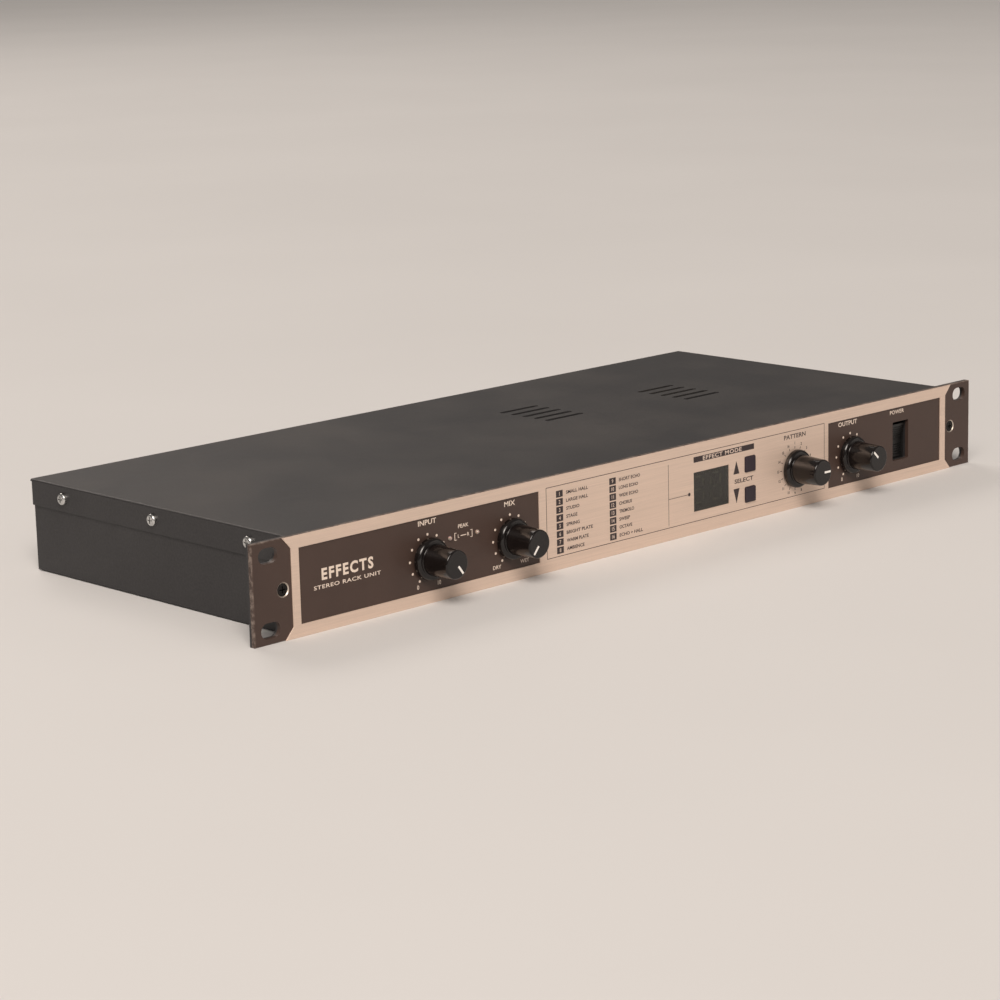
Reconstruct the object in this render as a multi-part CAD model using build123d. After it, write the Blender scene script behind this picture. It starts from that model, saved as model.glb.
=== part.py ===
from build123d import *
import os
from math import radians, sin, tan

# A one-unit rack effects unit: a steel tray welded to a front plate with rack ears and to a rear
# panel, a top cover, a front panel with a silver fascia, four rotary controls, two buttons, a
# display, a rocker power switch and the boards, transformer, jacks and mains inlet inside.
#
# Millimetres. +X is to the right seen from the front, +Y runs back into the rack, +Z is up.
# The origin is the centre of the four rack slots, on the face of the ears that meets the rails.

# ---- rack standard -------------------------------------------------------------------------
RACK_WIDTH = 482.6
UNIT_HEIGHT = 43.7
SLOT_PITCH_X = 465.1
SLOT_PITCH_Z = 31.75
SLOT_LENGTH = 10.3
SLOT_HEIGHT = 6.8

# ---- enclosure -----------------------------------------------------------------------------
SHEET = 1.2                      # tray, front plate and rear panel
COVER_SHEET = 1.0
PANEL_THICK = 2.0
FASCIA_THICK = 0.5
BODY_HALF_WIDTH = 219.0          # outside of the tray's side walls
BODY_TOP = 21.25                 # outside of the cover, and its mirror image under the tray
BODY_DEPTH = 180.0
LIP_DROP = 12.0                  # height of the cover's side lips
REAR_LIP_DROP = 8.0
REAR_LIP_INSET = 3.0             # from the tray's side to the end of the rear lip
COVER_START = 0.3                # the cover's front edge, just behind the front plate
COVER_FOLD = 0.9                 # radius of the cover's side folds
PANEL_EDGE = 0.35                # rounding of the front panel's edges
FASCIA_EDGE = 0.15
VENT_SLOT = (26.0, 3.0)
VENT_PITCH = 8.0
VENT_BANKS = [(125.0, 95.0), (40.0, 110.0)]      # over the transformer and the regulators
SIDE_SCREW_Y = (24.0, 90.0, 156.0)
REAR_SCREW_X = (-205.0, 0.0, 120.0)
SCREW_HOLE = 1.6
SHANK = 1.5                      # radius of the M3 screws

PANEL_BACK = -SHEET
PANEL_FACE = PANEL_BACK - PANEL_THICK
FASCIA_FACE = PANEL_FACE - FASCIA_THICK
FLOOR_TOP = -BODY_TOP + SHEET
TRAY_TOP = BODY_TOP - COVER_SHEET
REAR_INSIDE = BODY_DEPTH - SHEET
HALF_WIDTH = RACK_WIDTH / 2
HALF_HEIGHT = UNIT_HEIGHT / 2
SIDE_SCREW_Z = BODY_TOP - LIP_DROP / 2
REAR_SCREW_Z = BODY_TOP - REAR_LIP_DROP / 2 - 0.5

# ---- fascia --------------------------------------------------------------------------------
FASCIA_WAIST = 220.5             # half width between the ears
FASCIA_CORNER = 225.0            # half width at the top and bottom edges
FASCIA_CHAMFER = 5.0             # height of the slanted corners
LEFT_WINDOW = (-216.3, -75.7)    # dark fields cut out of the silver
RIGHT_WINDOW = (126.4, 216.3)
WINDOW_HALF_HEIGHT = 16.4

# ---- controls ------------------------------------------------------------------------------
KNOB_Z = -1.8
KNOBS = {                        # name: (X, pointer angle clockwise from straight up)
    "input": (-143.4, 143.0),
    "mix": (-93.6, -140.0),
    "pattern": (100.8, 90.0),
    "output": (143.9, -46.0),
}
KNOB_GAP = 0.7                   # between the skirt and the fascia
KNOB_REACH = 18.0                # from the fascia to the knob's face
SKIRT_RADIUS = 9.4
SKIRT_THICK = 3.2
SHOULDER = 1.8                   # rounding of the skirt's front edge
KNOB_ROOT = 0.4                  # rounding where the body meets the skirt
BODY_BASE_RADIUS = 7.1
KNOB_FACE_RADIUS = 6.4
KNOB_FACE_EDGE = 0.8
KNOB_RECESS_RADIUS = 7.0
POINTER_INNER = 1.0
POINTER_OUTER = 5.5
POINTER_WIDTH = 1.0
POINTER_DEPTH = 0.8
SHAFT_RADIUS = 3.0
SHAFT_FLAT = 1.5                 # from the axis to the flat of the D
SHAFT_END = 5.0                  # Y of the shaft's inner end
RUNNING_GAP = 0.05
BUSHING_RADIUS = 3.5
BUSHING_TIP = -7.0
POT_HALF_WIDTH = 8.0
POT_HALF_HEIGHT = 9.0
WASHER_RADIUS = 5.6
WASHER_THICK = 0.4
POT_NUT_RADIUS = 5.7             # to the corners
POT_NUT_THICK = 2.0
CONTROL_BOARD_X = (-162.0, 167.0)
CONTROL_BOARD_Y = 10.0           # front face of the control board
CONTROL_BOARD_HALF_HEIGHT = 17.0
BOARD_THICK = 1.6

KNOB_BACK = FASCIA_FACE - KNOB_GAP
KNOB_FACE = FASCIA_FACE - KNOB_REACH
KNOB_HUB = KNOB_BACK - SKIRT_THICK
SHAFT_TIP = KNOB_FACE + 4.7

BUTTON_X = 67.4
BUTTON_Z = {"up": 5.85, "down": -9.05}
BUTTON_WIDTH = 7.3
BUTTON_HEIGHT = 7.5
BUTTON_PROUD = 0.8
BUTTON_TRAVEL = 0.5
BUTTON_GAP = 0.2
STEM_RADIUS = 1.7
STEM_TIP = 7.0
TACT_FRONT = 6.0
TACT_HALF = 3.0

LED_X = (-130.3, -113.9)
LED_Z = 4.7
LED_RADIUS = 1.0
LED_COLLAR = 1.5
LED_BACK = 1.2

DISPLAY_X = (27.2, 52.3)
DISPLAY_Z = (-11.1, 7.9)
WINDOW_SUNK = 0.3                # the window's face behind the fascia's
WINDOW_FLANGE = 1.5
WINDOW_BACK = 0.8
MODULE_FRONT = 1.2
MODULE_HALF = (12.5, 9.0)
DIGIT_PITCH = 12.2
DIGIT_HALF = (3.4, 6.4)          # from a digit's middle to its outer segments' middles
SEGMENT_WIDTH = 1.3
SEGMENT_GAP = 0.5
GROOVE_DEPTH = 0.2

SWITCH_X = 184.15
SWITCH_Z = -1.0
SWITCH_WIDTH = 12.7
SWITCH_HEIGHT = 20.0
ROCKER_WIDTH = 11.3
ROCKER_HALF_HEIGHT = 8.9
ROCKER_SWING = 8.0               # tilt each side of the middle, degrees
ROCKER_PIVOT_Y = 4.2
ROCKER_CREST = 3.2               # from the pivot to the valley of the rocker's face
ROCKER_PIN_RADIUS = 1.2
ROCKER_PIN_REACH = 0.85
RIDGE_START = 2.4                # from the pivot to the first grip groove
RIDGE_PITCH = 1.2
SWITCH_DEPTH = 20.0
SWITCH_LUGS = [(-3.0, 5.0), (3.0, 5.0), (-3.0, -5.0), (3.0, -5.0)]
LUG_SIZE = (0.8, 4.0)
LUG_TIP = 27.0

EAR_SCREW_X = 225.2
EAR_SCREW_HEAD = 2.75
EAR_SINK_RADIUS = 3.2
EAR_SCREW_SUNK = 0.35

# ---- inside --------------------------------------------------------------------------------
MAIN_BOARD_X = (-205.0, 80.0)
MAIN_BOARD_Y = (62.0, 170.0)
MAIN_BOARD_TOP = -11.0
MAIN_BOARD_BOTTOM = MAIN_BOARD_TOP - BOARD_THICK
STANDOFF_POINTS = [(-199.0, 68.0), (-62.0, 68.0), (74.0, 68.0),
                   (-199.0, 148.0), (-52.0, 148.0), (74.0, 148.0)]
CONTROL_STANDOFFS = [(-157.0, -13.0), (-157.0, 13.0), (162.0, -13.0), (162.0, 13.0)]
FLOOR_SINK = 2.5                 # radius of the countersinks under the floor
HEATSINK_X = (36.0, 68.0)
HEATSINK_Y = 134.0
HEATSINK_TOP = 12.0
HEATSINK_PLATE = 2.5
FIN_THICK = 1.4
FIN_COUNT = 7
REGULATOR_X = (44.0, 60.0)
RIBBON_X = (0.0, 20.0)
RIBBON_END_Y = 78.0
RIBBON_THICK = 0.9
HEADER_DEPTH = 7.4
HEADER_TOP = -3.0

JACKS = {
    "input_jack_left": -188.0,
    "input_jack_right": -160.0,
    "output_jack_left": -122.0,
    "output_jack_right": -94.0,
    "footswitch_jack": -40.0,
}
JACK_Z = -2.0
JACK_WIDTH = 16.0
JACK_HEIGHT = 18.0
JACK_DEPTH = 26.0
JACK_BUSHING_RADIUS = 4.75
JACK_REACH = 6.0                 # bushing length from the rear panel's inside face
JACK_NUT_RADIUS = 7.3            # to the corners
JACK_NUT_THICK = 2.2
JACK_BORE_RADIUS = 3.25
JACK_BORE_DEPTH = 31.0

INLET_X = 172.0
INLET_Z = -1.0
INLET_FLANGE = (50.0, 24.0)
INLET_BODY = (28.0, 20.6)
INLET_CAVITY = (24.2, 16.0)
INLET_DEPTH = 16.5
INLET_SCREW_PITCH = 40.0
INLET_FACE = BODY_DEPTH + 2.5
INLET_BACK = 156.0
INLET_CORNER = 4.5               # slant of the cavity's upper corners
PIN_PLACES = [(-7.0, -2.0), (0.0, 2.0), (7.0, -2.0)]
PIN_SIZE = (2.0, 4.0)
PIN_TAIL = 149.0

CORE_CENTRE = (125.0, 95.0, -2.0)
CORE_SIZE = (60.0, 50.0, 22.0)
LEG_WIDTH = 18.0
CORE_WINDOW = (9.2, 30.0)
WINDING_BULGE = 6.0
WINDING_GAP = 0.2
TRANSFORMER_SCREW = (25.0, 20.0)
SPACER_RADIUS = 3.4

EARTH_STUD = (205.0, 160.0)
FUSE_X = (198.0, 210.0)
FUSE_Y = (90.0, 118.0)
FUSE_TOP = -8.0
STUD_TOP = FLOOR_TOP + 9
WIRE_RADIUS = 1.0


# ---- helpers -------------------------------------------------------------------------------
def block(x, y, z):
    """A box between two values along each axis."""
    size = Box(x[1] - x[0], y[1] - y[0], z[1] - z[0])
    return Pos((x[0] + x[1]) / 2, (y[0] + y[1]) / 2, (z[0] + z[1]) / 2) * size


def rod_x(y, z, radius, low, high):
    return Pos((low + high) / 2, y, z) * Rot(0, 90, 0) * Cylinder(radius, high - low)


def rod_y(x, z, radius, low, high):
    return Pos(x, (low + high) / 2, z) * Rot(90, 0, 0) * Cylinder(radius, high - low)


def rod_z(x, y, radius, low, high):
    return Pos(x, y, (low + high) / 2) * Cylinder(radius, high - low)


def plate(sketch, low, high):
    """A sketch drawn in X and Z, made solid between two Y values."""
    return Pos(0, high, 0) * Rot(90, 0, 0) * extrude(sketch, high - low)


def group(solids):
    """Several separate solids as one node."""
    return Compound(children=list(solids))


def rectangle(x, z):
    return Pos((x[0] + x[1]) / 2, (z[0] + z[1]) / 2) * Rectangle(x[1] - x[0], z[1] - z[0])


def front_fillet(solid, face_y, radius):
    """Rounds the edges that lie in the plane Y = face_y."""
    edges = solid.edges().filter_by_position(Axis.Y, face_y - 0.01, face_y + 0.01)
    return fillet(edges, radius)


def pan_head(radius, height):
    """A domed screw head standing on Z = 0, with a cross recess."""
    head = Pos(0, 0, height / 2) * Cylinder(radius, height)
    rim = head.edges().filter_by(GeomType.CIRCLE).sort_by(Axis.Z)[-1]
    head = fillet(rim, height * 0.6)
    arm = radius * 1.1
    cross = Box(arm, 0.6, height) + Box(0.6, arm, height)
    return head - Pos(0, 0, height) * cross


def pan_screw(head_radius, head_height, shank_radius, shank_length):
    """A pan-head screw on Z: head above Z = 0, shank below."""
    shank = Pos(0, 0, -shank_length / 2) * Cylinder(shank_radius, shank_length)
    return pan_head(head_radius, head_height) + shank


def flat_screw(head_radius, shank_radius, length):
    """A countersunk screw on Z: its face at Z = 0, its shank below, with a cross recess."""
    sink = head_radius - shank_radius
    head = Pos(0, 0, -sink / 2) * Cone(shank_radius, head_radius, sink)
    shank = Pos(0, 0, -(sink + length) / 2) * Cylinder(shank_radius, length - sink)
    arm = head_radius * 1.1
    cross = Box(arm, 0.55, 1.6) + Box(0.55, arm, 1.6)
    return head + shank - cross


def wire(points, bend):
    """A round wire along straight runs joined by arcs."""
    path = FilletPolyline(*points, radius=bend)
    section = Plane(origin=path @ 0, z_dir=path % 0) * Circle(WIRE_RADIUS)
    return sweep(section, path)


# ---- front openings, shared by the front plate, the panel and the fascia --------------------
def rack_slots():
    slot = SlotOverall(SLOT_LENGTH, SLOT_HEIGHT)
    return [Pos(x * SLOT_PITCH_X / 2, z * SLOT_PITCH_Z / 2) * slot
            for x in (-1, 1) for z in (-1, 1)]


def control_holes():
    knobs = [Pos(x, KNOB_Z) * Circle(BUSHING_RADIUS + 0.1) for x, angle in KNOBS.values()]
    buttons = [Pos(BUTTON_X, z) * RectangleRounded(BUTTON_WIDTH + 2 * BUTTON_GAP,
                                                   BUTTON_HEIGHT + 2 * BUTTON_GAP, 0.8)
               for z in BUTTON_Z.values()]
    return knobs + buttons + [rectangle(DISPLAY_X, DISPLAY_Z)]


def dark_field_holes():
    leds = [Pos(x, LED_Z) * Circle(LED_RADIUS + 0.1) for x in LED_X]
    switch = Pos(SWITCH_X, SWITCH_Z) * RectangleRounded(SWITCH_WIDTH, SWITCH_HEIGHT, 0.6)
    return leds + [switch]


# ---- enclosure -----------------------------------------------------------------------------
def side_screw_places():
    return [(side, y) for side in (-1, 1) for y in SIDE_SCREW_Y]


def side_screw_hole(side, y):
    """A hole through the side wall of the tray and the lip of the cover."""
    ends = sorted((side * (BODY_HALF_WIDTH - 4), side * (BODY_HALF_WIDTH + 3)))
    return rod_x(y, SIDE_SCREW_Z, SCREW_HOLE, *ends)


def floor_screw_places():
    x0, y0, _ = CORE_CENTRE
    dx, dy = TRANSFORMER_SCREW
    corners = [(x0 + i * dx, y0 + j * dy) for i in (-1, 1) for j in (-1, 1)]
    return STANDOFF_POINTS + corners


def front_plate():
    """The sheet behind the front panel, whose ends are the rack ears."""
    sheet = rectangle((-HALF_WIDTH, HALF_WIDTH), (-HALF_HEIGHT, HALF_HEIGHT))
    for hole in rack_slots() + control_holes() + dark_field_holes():
        sheet -= hole
    for side in (-1, 1):
        sheet -= Pos(side * EAR_SCREW_X, 0) * Circle(SHANK)
    return plate(sheet, PANEL_BACK, 0)


def chassis_tray():
    """Floor and side walls, welded between the front plate and the rear panel."""
    width = (-BODY_HALF_WIDTH, BODY_HALF_WIDTH)
    tray = block(width, (0, REAR_INSIDE), (-BODY_TOP, FLOOR_TOP))
    for side in (-1, 1):
        wall = sorted((side * BODY_HALF_WIDTH, side * (BODY_HALF_WIDTH - SHEET)))
        tray += block(wall, (0, REAR_INSIDE), (FLOOR_TOP, TRAY_TOP))
    for side, y in side_screw_places():
        tray -= side_screw_hole(side, y)
    for x, y in floor_screw_places():
        sink = FLOOR_SINK - SHANK
        tray -= rod_z(x, y, SHANK, -BODY_TOP - 1, FLOOR_TOP + 1)
        tray -= Pos(x, y, -BODY_TOP + sink / 2) * Cone(FLOOR_SINK, SHANK, sink)
    return tray - rod_z(*EARTH_STUD, 2.0, -BODY_TOP - 1, FLOOR_TOP + 1)


def rear_panel():
    """The sheet that carries the jacks and the mains inlet."""
    sheet = rectangle((-BODY_HALF_WIDTH, BODY_HALF_WIDTH), (-BODY_TOP, TRAY_TOP))
    sheet -= Pos(INLET_X, INLET_Z) * Rectangle(INLET_BODY[0] + 0.4, INLET_BODY[1] + 0.4)
    for x in JACKS.values():
        sheet -= Pos(x, JACK_Z) * Circle(JACK_BUSHING_RADIUS + 0.1)
    for x in REAR_SCREW_X:
        sheet -= Pos(x, REAR_SCREW_Z) * Circle(SCREW_HOLE)
    for side in (-1, 1):
        sheet -= Pos(INLET_X + side * INLET_SCREW_PITCH / 2, INLET_Z) * Circle(SCREW_HOLE)
    return plate(sheet, REAR_INSIDE, BODY_DEPTH)


def vent_slots():
    slot = SlotOverall(*VENT_SLOT)
    return [Pos(x, y + row * VENT_PITCH) * slot
            for x, y in VENT_BANKS for row in (-2, -1, 0, 1, 2)]


def top_cover():
    outside = BODY_HALF_WIDTH + COVER_SHEET
    depth = (COVER_START, BODY_DEPTH + COVER_SHEET)
    cover = block((-outside, outside), depth, (TRAY_TOP, BODY_TOP))
    for side in (-1, 1):
        lip = sorted((side * BODY_HALF_WIDTH, side * outside))
        cover += block(lip, (COVER_START, BODY_DEPTH), (BODY_TOP - LIP_DROP, TRAY_TOP))
    rear_x = (REAR_LIP_INSET - BODY_HALF_WIDTH, BODY_HALF_WIDTH - REAR_LIP_INSET)
    rear_y = (BODY_DEPTH, BODY_DEPTH + COVER_SHEET)
    cover += block(rear_x, rear_y, (BODY_TOP - REAR_LIP_DROP, TRAY_TOP))
    folds = cover.edges().filter_by_position(Axis.Z, BODY_TOP - 0.01, BODY_TOP + 0.01)
    cover = fillet(folds.filter_by(Axis.Y), COVER_FOLD)
    for slot in vent_slots():
        cover -= Pos(0, 0, TRAY_TOP - 1) * extrude(slot, COVER_SHEET + 2)
    for side, y in side_screw_places():
        cover -= side_screw_hole(side, y)
    for x in REAR_SCREW_X:
        cover -= rod_y(x, REAR_SCREW_Z, SCREW_HOLE, REAR_INSIDE, BODY_DEPTH + 3)
    return cover


def cover_screws():
    screw = pan_screw(2.8, 1.8, SHANK, 5.0)
    outside = BODY_HALF_WIDTH + COVER_SHEET
    sides = [Pos(side * outside, y, SIDE_SCREW_Z) * Rot(0, side * 90, 0) * screw
             for side, y in side_screw_places()]
    rear = [Pos(x, BODY_DEPTH + COVER_SHEET, REAR_SCREW_Z) * Rot(-90, 0, 0) * screw
            for x in REAR_SCREW_X]
    return group(sides + rear)


def front_panel():
    outline = rectangle((-HALF_WIDTH, HALF_WIDTH), (-HALF_HEIGHT, HALF_HEIGHT))
    panel = plate(outline, PANEL_FACE, PANEL_BACK)
    panel = front_fillet(panel, PANEL_FACE, PANEL_EDGE)
    holes = Sketch() + (rack_slots() + control_holes() + dark_field_holes())
    panel -= plate(holes, PANEL_FACE - 1, PANEL_BACK + 1)
    depth = EAR_SINK_RADIUS - SHANK
    for side in (-1, 1):
        sink = Pos(side * EAR_SCREW_X, PANEL_FACE + depth / 2, 0) * Rot(90, 0, 0)
        panel -= sink * Cone(SHANK, EAR_SINK_RADIUS, depth)
        panel -= rod_y(side * EAR_SCREW_X, 0, SHANK, PANEL_FACE, PANEL_BACK + 1)
    return panel


def fascia_overlay():
    low = HALF_HEIGHT - FASCIA_CHAMFER
    right = [(FASCIA_CORNER, HALF_HEIGHT), (FASCIA_WAIST, low),
             (FASCIA_WAIST, -low), (FASCIA_CORNER, -HALF_HEIGHT)]
    left = [(-x, z) for x, z in reversed(right)]
    outline = make_face(Polyline(*right, *left, close=True))
    for window in (LEFT_WINDOW, RIGHT_WINDOW):
        outline -= rectangle(window, (-WINDOW_HALF_HEIGHT, WINDOW_HALF_HEIGHT))
    sheet = plate(outline, FASCIA_FACE, PANEL_FACE)
    sheet = front_fillet(sheet, FASCIA_FACE, FASCIA_EDGE)
    pattern = Pos(KNOBS["pattern"][0], KNOB_Z) * Circle(BUSHING_RADIUS + 0.1)
    holes = Sketch() + ([pattern] + control_holes()[len(KNOBS):])
    return sheet - plate(holes, FASCIA_FACE - 1, PANEL_FACE + 1)


def panel_screws():
    face = PANEL_FACE + EAR_SCREW_SUNK
    screw = flat_screw(EAR_SCREW_HEAD, SHANK, -face)
    return group(Pos(side * EAR_SCREW_X, face, 0) * Rot(90, 0, 0) * screw for side in (-1, 1))


# ---- display and indicators ----------------------------------------------------------------
def display_window():
    fit = 0.1
    face = (DISPLAY_X[0] + fit, DISPLAY_X[1] - fit)
    height = (DISPLAY_Z[0] + fit, DISPLAY_Z[1] - fit)
    front = FASCIA_FACE + WINDOW_SUNK
    lens = block(face, (front, 0), height)
    lens = front_fillet(lens, front, 0.25)
    flange_x = (DISPLAY_X[0] - WINDOW_FLANGE, DISPLAY_X[1] + WINDOW_FLANGE)
    flange_z = (DISPLAY_Z[0] - WINDOW_FLANGE, DISPLAY_Z[1] + WINDOW_FLANGE)
    return lens + block(flange_x, (0, WINDOW_BACK), flange_z)


def display_module():
    """Two seven-segment digits in a black housing, soldered to the control board."""
    middle = sum(DISPLAY_X) / 2
    centre_z = sum(DISPLAY_Z) / 2
    half_x, half_z = MODULE_HALF
    housing = block((middle - half_x, middle + half_x), (MODULE_FRONT, CONTROL_BOARD_Y),
                    (centre_z - half_z, centre_z + half_z))
    for side in (-1, 1):
        housing -= digit_grooves(middle + side * DIGIT_PITCH / 2, centre_z)
    return housing


def digit_grooves(x, z):
    """The shallow grooves that hold one digit's seven segments."""
    half_x, half_z = DIGIT_HALF
    width, ends = SEGMENT_WIDTH, SEGMENT_WIDTH + SEGMENT_GAP
    bars = [Pos(x, z + row * half_z) * Rectangle(2 * half_x - ends, width)
            for row in (-1, 0, 1)]
    posts = [Pos(x + i * half_x, z + j * half_z / 2) * Rectangle(width, half_z - ends)
             for i in (-1, 1) for j in (-1, 1)]
    return plate(Sketch() + (bars + posts), MODULE_FRONT - 1, MODULE_FRONT + GROOVE_DEPTH)


def peak_leds():
    leds = []
    for x in LED_X:
        tip = PANEL_FACE - 0.1
        led = rod_y(x, LED_Z, LED_RADIUS, tip, 1.0)
        led += Pos(x, tip, LED_Z) * Sphere(LED_RADIUS)
        led += rod_y(x, LED_Z, LED_COLLAR, 0.3, LED_BACK)
        led += block((x - 0.9, x + 0.9), (LED_BACK, CONTROL_BOARD_Y), (LED_Z - 0.3, LED_Z + 0.3))
        leds.append(led)
    return group(leds)


# ---- buttons -------------------------------------------------------------------------------
def select_button(z):
    """A square cap with a retaining flange and a stem that works the switch behind it."""
    face = FASCIA_FACE - BUTTON_PROUD
    outline = Pos(BUTTON_X, z) * RectangleRounded(BUTTON_WIDTH, BUTTON_HEIGHT, 0.6)
    cap = plate(outline, face, 0.4)
    cap = front_fillet(cap, face, 0.5)
    flange = Pos(BUTTON_X, z) * Rectangle(BUTTON_WIDTH + 2.4, BUTTON_HEIGHT + 2.0)
    cap += plate(flange, 0.4, 1.2)
    return cap + rod_y(BUTTON_X, z, STEM_RADIUS, 1.2, STEM_TIP)


def tact_switches():
    bodies = []
    for z in BUTTON_Z.values():
        body = block((BUTTON_X - TACT_HALF, BUTTON_X + TACT_HALF), (TACT_FRONT, CONTROL_BOARD_Y),
                     (z - TACT_HALF, z + TACT_HALF))
        well = STEM_TIP + BUTTON_TRAVEL + 0.3
        body -= rod_y(BUTTON_X, z, STEM_RADIUS + 0.08, TACT_FRONT - 1, well)
        bodies.append(body)
    return group(bodies)


# ---- rotary controls -----------------------------------------------------------------------
def pot_body(name):
    """A control's housing and threaded bushing, with a blind hole for the shaft."""
    x, angle = KNOBS[name]
    body = block((x - POT_HALF_WIDTH, x + POT_HALF_WIDTH), (0, CONTROL_BOARD_Y),
                 (KNOB_Z - POT_HALF_HEIGHT, KNOB_Z + POT_HALF_HEIGHT))
    body = fillet(body.edges().filter_by(Axis.Y), 1.5)
    body += rod_y(x, KNOB_Z, BUSHING_RADIUS, BUSHING_TIP, 0)
    bore = SHAFT_RADIUS + RUNNING_GAP
    return body - rod_y(x, KNOB_Z, bore, BUSHING_TIP - 1, SHAFT_END + 0.2)


def panel_face_at(name):
    """The control sits on the silver fascia or, in a dark field, on the panel itself."""
    return FASCIA_FACE if name == "pattern" else PANEL_FACE


def pot_washers():
    washers = []
    for name, (x, angle) in KNOBS.items():
        face = panel_face_at(name)
        ring = rod_y(x, KNOB_Z, WASHER_RADIUS, face - WASHER_THICK, face)
        washers.append(ring - rod_y(x, KNOB_Z, BUSHING_RADIUS + 0.1, face - 1, face + 1))
    return group(washers)


def pot_nuts():
    nuts = []
    for name, (x, angle) in KNOBS.items():
        face = panel_face_at(name) - WASHER_THICK
        hole = Circle(BUSHING_RADIUS + RUNNING_GAP)
        ring = Pos(x, KNOB_Z) * (RegularPolygon(POT_NUT_RADIUS, 6) - hole)
        nuts.append(plate(ring, face - POT_NUT_THICK, face))
    return group(nuts)


def shaft(name):
    """A D-section shaft: round in the bushing, flatted inside the knob."""
    x, angle = KNOBS[name]
    bar = rod_y(0, 0, SHAFT_RADIUS, SHAFT_TIP, SHAFT_END)
    flat = block((-4, 4), (SHAFT_TIP - 1, KNOB_HUB + 0.3), (SHAFT_FLAT, 4))
    return Pos(x, 0, KNOB_Z) * Rot(0, angle, 0) * (bar - flat)


def knob(name):
    """A skirted, tapered control knob with a slot for its pointer."""
    x, angle = KNOBS[name]
    outline = [(0, KNOB_BACK), (SKIRT_RADIUS, KNOB_BACK), (SKIRT_RADIUS, KNOB_HUB),
               (BODY_BASE_RADIUS, KNOB_HUB), (KNOB_FACE_RADIUS, KNOB_FACE), (0, KNOB_FACE)]
    body = revolve(make_face(Polyline(*outline, close=True)), Axis.Y)
    body = fillet(knob_edges(body, KNOB_FACE, KNOB_FACE_RADIUS), KNOB_FACE_EDGE)
    body = fillet(knob_edges(body, KNOB_HUB, BODY_BASE_RADIUS), KNOB_ROOT)
    body = fillet(knob_edges(body, KNOB_HUB, SKIRT_RADIUS), SHOULDER)
    body = fillet(knob_edges(body, KNOB_BACK, SKIRT_RADIUS), 0.3)
    body -= rod_y(0, 0, KNOB_RECESS_RADIUS, KNOB_HUB, KNOB_BACK + 1)
    bore = rod_y(0, 0, SHAFT_RADIUS + RUNNING_GAP, SHAFT_TIP - 0.2, KNOB_HUB + 1)
    flat = block((-4, 4), (KNOB_FACE, KNOB_HUB + 1), (SHAFT_FLAT + RUNNING_GAP, 4))
    body -= bore - flat
    return Pos(x, 0, KNOB_Z) * Rot(0, angle, 0) * (body - pointer_bar())


def knob_edges(body, y, radius):
    """The circular edge of the given radius in the plane Y = y."""
    rings = body.edges().filter_by(GeomType.CIRCLE)
    rings = rings.filter_by_position(Axis.Y, y - 0.01, y + 0.01)
    return [ring for ring in rings if abs(ring.radius - radius) < 0.01]


def pointer_bar():
    """The white inlay, before it is turned to the knob's setting."""
    half = POINTER_WIDTH / 2
    return block((-half, half), (KNOB_FACE, KNOB_FACE + POINTER_DEPTH),
                 (POINTER_INNER, POINTER_OUTER))


def pointer(name):
    x, angle = KNOBS[name]
    return Pos(x, 0, KNOB_Z) * Rot(0, angle, 0) * pointer_bar()


# ---- power switch --------------------------------------------------------------------------
def switch_housing():
    """The rocker's housing behind the front plate, with bearings for its pivot pins."""
    half_x, half_z = SWITCH_WIDTH / 2 + 1.0, SWITCH_HEIGHT / 2 + 1.2
    body = block((SWITCH_X - half_x, SWITCH_X + half_x), (0, SWITCH_DEPTH),
                 (SWITCH_Z - half_z, SWITCH_Z + half_z))
    cavity_x = ROCKER_WIDTH / 2 + 0.2
    cavity_z = SWITCH_HEIGHT / 2 - 0.2
    body -= block((SWITCH_X - cavity_x, SWITCH_X + cavity_x), (-1, 12),
                  (SWITCH_Z - cavity_z, SWITCH_Z + cavity_z))
    reach = cavity_x + 0.9
    hole = rod_x(ROCKER_PIVOT_Y, SWITCH_Z, ROCKER_PIN_RADIUS + RUNNING_GAP,
                 SWITCH_X - reach, SWITCH_X + reach)
    return body - hole


def power_rocker():
    """The rocker at rest, its lower half pressed in: a shallow valley with grip ridges."""
    rise = ROCKER_HALF_HEIGHT * tan(radians(ROCKER_SWING))
    crest, end = -ROCKER_CREST, -ROCKER_CREST - rise
    face = [(end, ROCKER_HALF_HEIGHT), (crest, 0), (end, -ROCKER_HALF_HEIGHT)]
    back = [(0.5, -ROCKER_HALF_HEIGHT), (3.0, -2.0), (3.0, 2.0), (0.5, ROCKER_HALF_HEIGHT)]
    outline = make_face(Polyline(*face, *back, close=True))
    half = ROCKER_WIDTH / 2
    body = Pos(-half, 0, 0) * extrude(Plane.YZ * outline, ROCKER_WIDTH)
    slope = sin(radians(ROCKER_SWING))
    for side in (-1, 1):
        for step in range(5):
            z = side * (RIDGE_START + RIDGE_PITCH * step)
            y = crest - abs(z) * slope
            body -= block((-half - 1, half + 1), (y - 1, y + 0.35), (z - 0.3, z + 0.3))
    reach = half + ROCKER_PIN_REACH
    body += rod_x(0, 0, ROCKER_PIN_RADIUS, -reach, reach)
    return Pos(SWITCH_X, ROCKER_PIVOT_Y, SWITCH_Z) * Rot(ROCKER_SWING, 0, 0) * body


# ---- boards --------------------------------------------------------------------------------
def control_board():
    height = (-CONTROL_BOARD_HALF_HEIGHT, CONTROL_BOARD_HALF_HEIGHT)
    return block(CONTROL_BOARD_X, (CONTROL_BOARD_Y, CONTROL_BOARD_Y + BOARD_THICK), height)


def main_board():
    return block(MAIN_BOARD_X, MAIN_BOARD_Y, (MAIN_BOARD_BOTTOM, MAIN_BOARD_TOP))


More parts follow.
